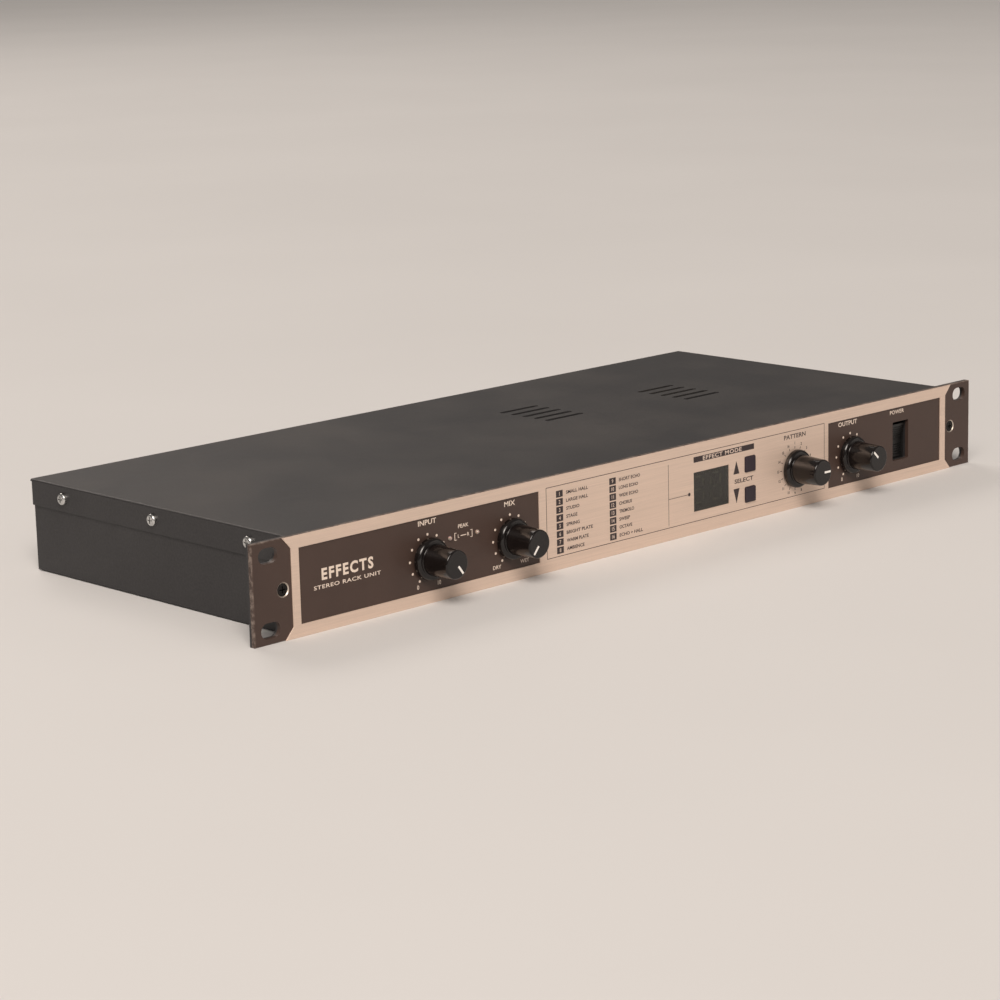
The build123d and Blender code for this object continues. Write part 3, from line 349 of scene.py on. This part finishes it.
def circuit_board(name, stretch):
    """Green solder mask over copper runs, with a weave showing faintly."""
    green = (0.018, 0.10, 0.038)
    recipe = Recipe(name, green, 0.3)
    runs = recipe.node("ShaderNodeTexBrick")
    runs.inputs["Scale"].default_value = 1.0
    runs.inputs["Brick Width"].default_value = 14 * MM
    runs.inputs["Row Height"].default_value = 2.2 * MM
    runs.inputs["Mortar Size"].default_value = 0.32 * MM
    runs.inputs["Mortar Smooth"].default_value = 0.2
    recipe.link(recipe.stretched(stretch), runs.inputs["Vector"])
    weave = recipe.noise(1800, detail=2.0)
    base = recipe.blend(runs.outputs["Fac"], green, (0.032, 0.19, 0.06))
    recipe.color(recipe.blend(recipe.spread(weave, 0, 0.4), base, tint(green, 0.7)))
    recipe.roughness(recipe.spread(weave, 0.24, 0.36))
    recipe.bump(runs.outputs["Fac"], 3e-5)
    return recipe.material


def banded(name, low, high, axis, pitch, roughness, metallic=0.0):
    """Layers along one axis: laminations, tape turns or the wires of a flat cable."""
    recipe = Recipe(name, low, roughness, metallic)
    wave = recipe.bands(axis, pitch)
    stain = recipe.noise(300, detail=4.0)
    base = recipe.blend(recipe.spread(wave, 0, 1, 0.2, 0.8), low, high)
    recipe.color(recipe.blend(recipe.spread(stain, 0, 0.45), base, tint(low, 0.6)))
    recipe.roughness(recipe.spread(stain, roughness - 0.06, roughness + 0.1))
    recipe.bump(wave, 5e-5)
    return recipe.material


def floor_material():
    """Plain and pale, with the faintest unevenness."""
    recipe = Recipe("studio_floor", (0.68, 0.675, 0.67), 0.65)
    cloud = recipe.noise(3.0, detail=3.0)
    recipe.color(recipe.blend(recipe.spread(cloud, 0, 1), (0.67, 0.665, 0.66), (0.69, 0.685, 0.68)))
    return recipe.material


# ---- dressing the CAD nodes -----------------------------------------------------------------
def dress(material, *nodes):
    """Gives each CAD node the material in every slot it has."""
    for node in nodes:
        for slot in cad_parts[node].material_slots:
            slot.material = material


def dress_nodes():
    """A material for every CAD node."""
    zinc = plated("bright_zinc", (0.62, 0.62, 0.61))
    nickel = plated("nickel", (0.66, 0.62, 0.56), 0.25)
    moulding = grained("black_moulding", (0.010, 0.010, 0.010), 0.42)

    dress(powder_coat(), "front_plate", "chassis_tray", "rear_panel", "top_cover")
    dress(charcoal_paint(), "front_panel")
    dress(silver_paint(), "fascia_overlay")
    dress(plated("black_oxide", (0.035, 0.033, 0.032), 0.38), "panel_screws")
    dress(zinc, "cover_screws", "fixing_screws")
    dress(nickel, "pot_washers", "pot_nuts", "jack_nuts")
    dress(smoked_acrylic(), "display_window")
    dress(grained("display_body", (0.013, 0.011, 0.009), 0.5), "display_module")
    dress(led_epoxy(), "peak_leds")
    dress(moulding, "switch_housing", "tact_switches", "power_inlet", *JACKS)
    dress(grained("rocker_black", (0.006, 0.006, 0.006), 0.4, depth=3e-6), "power_rocker")
    dress(grained("button_dark", (0.018, 0.010, 0.018), 0.5, grain=3200.0, depth=5e-6),
          "select_up_button", "select_down_button")
    dress(knob_plastic(), *(name + "_knob" for name in CONTROLS))
    dress(grained("pointer_white", (0.86, 0.83, 0.79), 0.35, depth=2e-6, change=0.03),
          *(name + "_pointer" for name in CONTROLS))
    dress(plated("turned_aluminium", (0.72, 0.72, 0.72), 0.3),
          *(name + "_shaft" for name in CONTROLS))
    dress(plated("tinned_can", (0.55, 0.54, 0.51), 0.34),
          "input_pot", "mix_pot", "output_pot", "pattern_encoder")
    dress(circuit_board("main_solder_mask", (1, 1, 1)), "main_board")
    dress(circuit_board("control_solder_mask", (1, 0, 1)), "control_board")
    dress(plated("brass", (0.74, 0.55, 0.27), 0.28), "board_standoffs", "earth_stud")
    dress(plated("tinned_brass", (0.72, 0.68, 0.58), 0.3), "mains_terminals")
    dress(grained("nylon", (0.78, 0.73, 0.60), 0.45), "board_headers")
    dress(banded("ribbon", (0.22, 0.22, 0.23), (0.46, 0.46, 0.47), "X", 1.27 * MM, 0.5),
          "ribbon_cable")
    dress(grained("chip_epoxy", (0.020, 0.020, 0.021), 0.55), "dsp_chip", "small_chips",
          "regulators")
    dress(grained("capacitor_sleeve", (0.018, 0.026, 0.075), 0.28, depth=2e-6), "capacitors")
    dress(grained("black_anodised", (0.03, 0.03, 0.031), 0.36, metallic=0.7), "heatsink")
    dress(banded("laminations", (0.10, 0.085, 0.075), (0.20, 0.17, 0.15), "Z", 0.5 * MM, 0.5,
                 metallic=0.6), "transformer_core")
    dress(banded("winding_tape", (0.52, 0.36, 0.05), (0.66, 0.48, 0.09), "Z", 4.0 * MM, 0.35),
          "transformer_winding")
    dress(grained("fuse_moulding", (0.02, 0.02, 0.02), 0.3), "fuse_holder")
    dress(grained("brown_vinyl", (0.15, 0.06, 0.03), 0.4), "mains_wires")
    dress(grained("green_vinyl", (0.16, 0.34, 0.05), 0.4), "earth_wire")
    dress(grained("red_vinyl", (0.42, 0.03, 0.025), 0.4), "secondary_wires")


# ---- printed legends ------------------------------------------------------------------------
class Legend:
    """Thin printed shapes on one face, placed in millimetres across (x) and up (z)."""

    NARROW = 0.92                 # of the lettering's own width, where none is given
    MERGE = 1e-5                  # how close two points of a letter are when they are one
    DOT_SIDES = 20

    def __init__(self, face, rear=False):
        self.mesh = bmesh.new()
        self.face = face
        self.out = 1 if rear else -1

    def spot(self, x, z, level):
        """The point x, z of the face, level ink layers out from it."""
        return Vector((x * MM, self.face + self.out * level * INK, z * MM))

    def outline(self, points):
        """A closed flat shape of one ink layer, from its corners in order."""
        low = [self.mesh.verts.new(self.spot(x, z, 0)) for x, z in points]
        high = [self.mesh.verts.new(self.spot(x, z, 1)) for x, z in points]
        self.mesh.faces.new(high)
        self.mesh.faces.new(low[::-1])
        for i in range(len(points)):
            self.mesh.faces.new((low[i - 1], low[i], high[i], high[i - 1]))

    def bar(self, x, z):
        """A filled rectangle between two values of x and two of z."""
        self.outline([(x[0], z[0]), (x[1], z[0]), (x[1], z[1]), (x[0], z[1])])

    def dot(self, x, z, radius):
        """A filled disc."""
        turn = [2 * pi * i / self.DOT_SIDES for i in range(self.DOT_SIDES)]
        self.outline([(x + radius * cos(a), z + radius * sin(a)) for a in turn])

    def border(self, x, z, width):
        """A rectangle drawn as a line."""
        self.bar((x[0], x[1]), (z[1] - width, z[1]))
        self.bar((x[0], x[1]), (z[0], z[0] + width))
        self.bar((x[0], x[0] + width), (z[0] + width, z[1] - width))
        self.bar((x[1] - width, x[1]), (z[0] + width, z[1] - width))

    def tick(self, x, z, angle, inner, outer, width):
        """A radial line, its angle clockwise from straight up."""
        along = Vector((sin(angle), cos(angle)))
        side = Vector((along.y, -along.x)) * width / 2
        centre = Vector((x, z))
        corners = [centre + along * inner + side, centre + along * outer + side,
                   centre + along * outer - side, centre + along * inner - side]
        self.outline([tuple(corner) for corner in corners])

    def words(self, text, x, z, height, width=None, weight=0.0, spacing=1.0, level=0):
        """Lettering centred on x, z: capitals height tall, and width across if given."""
        curve = bpy.data.curves.new("lettering", "FONT")
        curve.body = text
        curve.space_character = spacing
        curve.resolution_u = 3
        curve.offset = weight
        curve.extrude = 0.5       # half a layer each way
        holder = bpy.data.objects.new("lettering", curve)
        bpy.context.scene.collection.objects.link(holder)
        shown = holder.evaluated_get(bpy.context.evaluated_depsgraph_get())
        letters = bmesh.new()
        letters.from_mesh(bpy.data.meshes.new_from_object(shown))
        bpy.data.objects.remove(holder)
        bmesh.ops.remove_doubles(letters, verts=letters.verts, dist=self.MERGE)
        xs = [v.co.x for v in letters.verts]
        ys = [v.co.y for v in letters.verts]
        tall = height / (max(ys) - min(ys))
        wide = width / (max(xs) - min(xs)) if width else tall * self.NARROW
        centre = Vector(((max(xs) + min(xs)) / 2, (max(ys) + min(ys)) / 2))
        for vert in letters.verts:
            across = (vert.co.x - centre.x) * wide
            up = (vert.co.y - centre.y) * tall
            vert.co = self.spot(x - self.out * across, z + up, level + 0.5 + vert.co.z)
        mesh = bpy.data.meshes.new("letters")
        letters.to_mesh(mesh)
        self.mesh.from_mesh(mesh)

    def finish(self, name, material):
        """Makes the piece, which rides on the chassis."""
        mesh = bpy.data.meshes.new(name)
        bmesh.ops.recalc_face_normals(self.mesh, faces=self.mesh.faces)
        self.mesh.to_mesh(mesh)
        mesh.materials.append(material)
        piece = bpy.data.objects.new(name, mesh)
        bpy.context.scene.collection.objects.link(piece)
        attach(piece, "chassis")


# Round the knobs.
DOT_ORBIT, DOT_RADIUS = 10.7, 0.6
DOT_STEP = radians(30)
TICKS, TICK_WIDTH = (9.8, 11.0), 0.36
PLACES = 16                       # of the pattern selector
NUMBER_ORBIT = 12.5
END_Z, END_TALL = -13.6, 1.9      # 0 and 10, below the ends of a scale

# L and R beside the indicators, a dash between them and a square bracket on each side.
PEAK_Z = 4.8
CHANNEL_X = 2.9                   # from the middle to a letter
DASH_HALF = (1.7, 0.18)
BRACKET_X = 5.4                   # from the middle to a bracket's back
BRACKET_Z = (3.4, 6.2)
BRACKET_BACK, BRACKET_ARM, BRACKET_REACH = 0.35, 0.3, 1.2

# Text, middle across and up, height, width, weight of stroke, letter spacing.
PALE_WORDS = (
    ("INPUT", INPUT_X, 14.3, 2.3, 10.7, 0.014),
    ("MIX", MIX_X, 14.0, 2.3, 6.7, 0.014),
    ("OUTPUT", OUTPUT_X - 1.9, 14.3, 2.3, 14.6, 0.014),
    ("POWER", 181.2, 14.2, 2.0, 11.2, 0.012, 1.1),
    ("DRY", MIX_X - 8.6, END_Z, 1.7, 5.0, 0.01),
    ("WET", MIX_X + 8.6, END_Z, 1.7, 5.4, 0.01),
    ("EFFECTS", -189.5, 2.6, 5.2, 29.0, 0.035, 1.25),
    ("STEREO RACK UNIT", -189.7, -2.7, 1.7, 37.6, 0.012, 1.1),
)
DARK_WORDS = (
    ("SELECT", 63.0, -1.3, 2.1, 13.6, 0.018),
    ("PATTERN", PATTERN_X, 14.3, 2.2, 16.2, 0.018),
)


def scale_dots(legend, x):
    """Eleven dots from seven o'clock to five o'clock."""
    for step in range(-5, 6):
        angle = DOT_STEP * step
        legend.dot(x + DOT_ORBIT * sin(angle), KNOB_Z + DOT_ORBIT * cos(angle), DOT_RADIUS)


def selector_marks(legend):
    """A numbered mark at each place of the pattern knob."""
    for place in range(PLACES):
        angle = radians(360 / PLACES) * place
        legend.tick(PATTERN_X, KNOB_Z, angle, *TICKS, TICK_WIDTH)
        x = PATTERN_X + NUMBER_ORBIT * sin(angle)
        z = KNOB_Z + NUMBER_ORBIT * cos(angle)
        legend.words(str(place + 1), x, z, 1.4, weight=0.025)


def peak_legend(legend):
    """The word PEAK over the bracketed L and R."""
    between = middle("peak_leds").x
    legend.words("PEAK", between, 9.1, 1.7, 6.2, weight=0.012)
    legend.bar((between - DASH_HALF[0], between + DASH_HALF[0]),
               (PEAK_Z - DASH_HALF[1], PEAK_Z + DASH_HALF[1]))
    bottom, top = BRACKET_Z
    for side, letter in ((-1, "L"), (1, "R")):
        legend.words(letter, between + side * CHANNEL_X, PEAK_Z, 1.6, weight=0.012)
        edge = between + side * BRACKET_X
        arm = sorted((edge, edge - side * BRACKET_REACH))
        legend.bar(sorted((edge, edge - side * BRACKET_BACK)), (bottom, top))
        legend.bar(arm, (top, top + BRACKET_ARM))
        legend.bar(arm, (bottom - BRACKET_ARM, bottom))


def pale_legends():
    """Everything printed in off-white on the two dark fields."""
    legend = Legend(PANEL_FACE)
    for x in (INPUT_X, MIX_X, OUTPUT_X):
        scale_dots(legend, x)
    for x in (INPUT_X, OUTPUT_X):
        legend.words("0", x - 6.4, END_Z, END_TALL, weight=0.01)
        legend.words("10", x + 6.2, END_Z, END_TALL, weight=0.01)
    for words in PALE_WORDS:
        legend.words(*words)
    peak_legend(legend)
    legend.finish("pale_legends", ink("pale_ink", (0.78, 0.66, 0.56)))


# The list of effects, and what stands between it and the pattern knob.
LIST_LEFT = ("SMALL HALL", "LARGE HALL", "STUDIO", "STAGE", "SPRING", "BRIGHT PLATE",
             "WARM PLATE", "AMBIENCE")
LIST_RIGHT = ("SHORT ECHO", "LONG ECHO", "WIDE ECHO", "CHORUS", "TREMOLO", "SWEEP", "OCTAVE",
              "ECHO + HALL")
ROW_TOP, ROW_PITCH = 13.15, 3.73
COLUMNS = ((-62.75, 1, LIST_LEFT), (-28.1, 9, LIST_RIGHT))   # middle of blocks, first number
BLOCK_HALF = (2.15, 1.55)         # of the dark block behind a number
NAME_START = 4.2                  # from the middle of a block to its name
LETTER_WIDTH = 1.42
FRAME_X, FRAME_Z, FRAME_LINE = (-71.3, 123.3), (-15.8, 17.2), 0.28
DIVIDER_X, DIVIDER_Z = (9.5, 9.75), (-14.7, 14.7)
LEAD_END, LEAD_Z = 24.0, -2.0     # the line from the list to the display, ending in a dot
LEAD_HALF, LEAD_DOT = 0.12, 0.85
BAR_X, BAR_Z = (27.2, 70.5), (12.7, 15.4)
MODE_MIDDLE = 20.4                # from the bar's left end to the middle of its words
ARROW_X, ARROW_HALF = 57.6, 2.15
ARROWS = ((2.35, 8.7), (-4.85, -12.0))                       # base and tip of each


def dark_legends():
    """Everything printed in near-black on the silver fascia."""
    legend = Legend(FASCIA_FACE)
    legend.border(FRAME_X, FRAME_Z, FRAME_LINE)
    legend.bar(DIVIDER_X, DIVIDER_Z)
    legend.bar((DIVIDER_X[1], LEAD_END), (LEAD_Z - LEAD_HALF, LEAD_Z + LEAD_HALF))
    legend.dot(LEAD_END, LEAD_Z, LEAD_DOT)
    legend.bar(BAR_X, BAR_Z)
    half, tall = BLOCK_HALF
    for column, _, names in COLUMNS:
        for row, name in enumerate(names):
            z = ROW_TOP - row * ROW_PITCH
            legend.bar((column - half, column + half), (z - tall, z + tall))
            width = LETTER_WIDTH * len(name)
            legend.words(name, column + NAME_START + width / 2, z, 1.6, width, weight=0.022)
    for base, tip in ARROWS:
        legend.outline([(ARROW_X - ARROW_HALF, base), (ARROW_X + ARROW_HALF, base),
                        (ARROW_X, tip)])
    for words in DARK_WORDS:
        legend.words(*words)
    selector_marks(legend)
    legend.finish("dark_legends", ink("dark_ink", (0.030, 0.019, 0.020)))


def silver_legends():
    """Silver numerals and words that stand in the dark printed blocks."""
    legend = Legend(FASCIA_FACE)
    for column, first, names in COLUMNS:
        for row in range(len(names)):
            legend.words(str(first + row), column, ROW_TOP - row * ROW_PITCH, 1.75,
                         weight=0.012, level=1)
    legend.words("EFFECT MODE", BAR_X[0] + MODE_MIDDLE, sum(BAR_Z) / 2, 1.95, 27.7, weight=0.02,
                 spacing=1.12, level=1)
    legend.finish("silver_legends", ink("silver_ink", (0.66, 0.53, 0.45)))


REAR_NAME_Z, REAR_CHANNEL_Z = 9.6, -12.4
REAR_LINE_Z = (9.5, 9.75)
REAR_NAME_HALF = 7.5              # from a name's middle to the lines beside it


def rear_legends():
    """Plain labels by the rear connectors."""
    legend = Legend(REAR_FACE, rear=True)
    for pair, name in (("input_jack", "INPUT"), ("output_jack", "OUTPUT")):
        left, right = middle(pair + "_left").x, middle(pair + "_right").x
        between = (left + right) / 2
        legend.words(name, between, REAR_NAME_Z, 2.1, 11.0, weight=0.01)
        legend.bar((left, between - REAR_NAME_HALF), REAR_LINE_Z)
        legend.bar((between + REAR_NAME_HALF, right), REAR_LINE_Z)
        legend.words("L", left, REAR_CHANNEL_Z, 2.1)
        legend.words("R", right, REAR_CHANNEL_Z, 2.1)
    footswitch = middle("footswitch_jack").x
    legend.words("FOOT SWITCH", footswitch, REAR_NAME_Z, 1.9, 19.0, weight=0.01)
    legend.words("AC IN", 136.0, 0.0, 2.4, 10.0, weight=0.01)
    legend.finish("rear_legends", ink("rear_ink", (0.80, 0.77, 0.73)))


# ---- display digits -------------------------------------------------------------------------
DIGIT_APART = 12.2
DIGIT_HALF = (3.4, 6.4)           # from a digit's middle to its outer segments
SEGMENT_HALF, SEGMENT_THICK = 1.7, 0.5
SEGMENT_SINK = 0.1 * MM           # how far the segments lie behind the module's face


def display_segments():
    """Two unlit seven-segment digits in the module's grooves."""
    legend = Legend(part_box("display_module")[0].y + SEGMENT_SINK)
    centre = middle("display_module")
    for digit in (centre.x - DIGIT_APART / 2, centre.x + DIGIT_APART / 2):
        for row in (-1, 0, 1):
            z = centre.z + row * DIGIT_HALF[1]
            legend.outline(pointed_bar(digit, z, SEGMENT_HALF, SEGMENT_THICK, flat=True))
        for i in (-1, 1):
            for j in (-1, 1):
                x, z = digit + i * DIGIT_HALF[0], centre.z + j * DIGIT_HALF[1] / 2
                legend.outline(pointed_bar(x, z, SEGMENT_HALF, SEGMENT_THICK, flat=False))
    legend.finish("display_segments", ink("segment_grey", (0.44, 0.46, 0.31)))


def pointed_bar(x, z, half, thick, flat):
    """A six-sided segment, lying flat or standing."""
    shape = [(-half - thick, 0), (-half, -thick), (half, -thick), (half + thick, 0),
             (half, thick), (-half, thick)]
    if not flat:
        shape = [(-up, across) for across, up in shape]
    return [(x + across, z + up) for across, up in shape]


# ---- studio ---------------------------------------------------------------------------------
FLOOR_HALF = 8.0
WARM = (1.0, 0.90, 0.82)
KEY_WAY = (0.52, 0.62, -0.60)     # the way the key's light travels
KEY_ANGLE, KEY_POWER = radians(24), 1.3
# Name, place, the point it faces, width, height and power, in metres and watts.
AREA_LIGHTS = (
    ("softbox", (-2.6, -2.4, 3.8), (0, 0, 0), 3.0, 2.4, 178),
    ("fill", (3.2, -3.2, 1.4), (0, 0, 0), 2.8, 2.0, 14),
    ("back", (0.8, 3.6, 3.0), (0, 0.1, 0), 2.8, 1.6, 52),
)
AIR_COLOR = (1.0, 0.94, 0.88)
AIR_LIT, AIR_SEEN = 0.2, 0.55     # strength of its light, and of the backdrop the camera sees


def floor():
    """A plain square under the unit."""
    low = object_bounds()[0].z
    mesh = bpy.data.meshes.new("studio_floor")
    turns = ((-1, -1), (1, -1), (1, 1), (-1, 1))
    corners = [(i * FLOOR_HALF, j * FLOOR_HALF, low) for i, j in turns]
    mesh.from_pydata(corners, [], [(0, 1, 2, 3)])
    mesh.materials.append(floor_material())
    piece = bpy.data.objects.new("studio_floor", mesh)
    bpy.context.scene.collection.objects.link(piece)


def area_light(name, place, aim, width, height, power):
    """A warm rectangle of light at place, facing aim."""
    light = bpy.data.lights.new(name, "AREA")
    light.shape = "RECTANGLE"
    light.size = width
    light.size_y = height
    light.energy = power
    light.color = WARM
    holder = bpy.data.objects.new(name, light)
    bpy.context.scene.collection.objects.link(holder)
    holder.location = place
    holder.rotation_euler = (Vector(aim) - Vector(place)).to_track_quat("-Z", "Y").to_euler()


def lights():
    """A soft warm key from the upper left, three area lights and even air."""
    key = bpy.data.lights.new("key", "SUN")
    key.angle = KEY_ANGLE
    key.energy = KEY_POWER
    key.color = WARM
    holder = bpy.data.objects.new("key", key)
    bpy.context.scene.collection.objects.link(holder)
    holder.rotation_euler = Vector(KEY_WAY).to_track_quat("-Z", "Y").to_euler()
    for light in AREA_LIGHTS:
        area_light(*light)
    bpy.context.scene.view_settings.view_transform = "Standard"
    studio_air(AIR_COLOR, AIR_LIT, AIR_SEEN)


def studio_air(color, lit, seen):
    """Even light from all round, and a paler backdrop where the camera sees past the floor."""
    world = bpy.data.worlds.new("studio")
    world.use_nodes = True
    nodes, links = world.node_tree.nodes, world.node_tree.links
    air = nodes["Background"]
    backdrop = nodes.new("ShaderNodeBackground")
    mix = nodes.new("ShaderNodeMixShader")
    for shader, strength in ((air, lit), (backdrop, seen)):
        shader.inputs["Color"].default_value = (*color, 1.0)
        shader.inputs["Strength"].default_value = strength
    links.new(nodes.new("ShaderNodeLightPath").outputs["Is Camera Ray"], mix.inputs[0])
    links.new(air.outputs[0], mix.inputs[1])
    links.new(backdrop.outputs[0], mix.inputs[2])
    links.new(mix.outputs[0], nodes["World Output"].inputs["Surface"])
    bpy.context.scene.world = world


EYE = Vector((-0.9712, -0.9090, 0.2939))
AIM = Vector((-0.0227, 0.0765, -0.0079))
ROLL = radians(-1.454)
LENS, SENSOR = 105.0, 36.0


def camera():
    """The eye left of the panel and a little above it, tipped by a small roll."""
    forward = (AIM - EYE).normalized()
    right = forward.cross(Vector((0, 0, 1))).normalized()
    up = right.cross(forward)
    across = right * cos(ROLL) + up * sin(ROLL)
    over = up * cos(ROLL) - right * sin(ROLL)
    data = bpy.data.cameras.new("camera")
    data.lens = LENS
    data.sensor_width = SENSOR
    holder = bpy.data.objects.new("camera", data)
    bpy.context.scene.collection.objects.link(holder)
    turn = Matrix((across, over, -forward)).transposed().to_4x4()
    holder.matrix_world = Matrix.Translation(EYE) @ turn
    bpy.context.scene.camera = holder


dress_nodes()
pale_legends()
dark_legends()
silver_legends()
rear_legends()
display_segments()
floor()
lights()
camera()
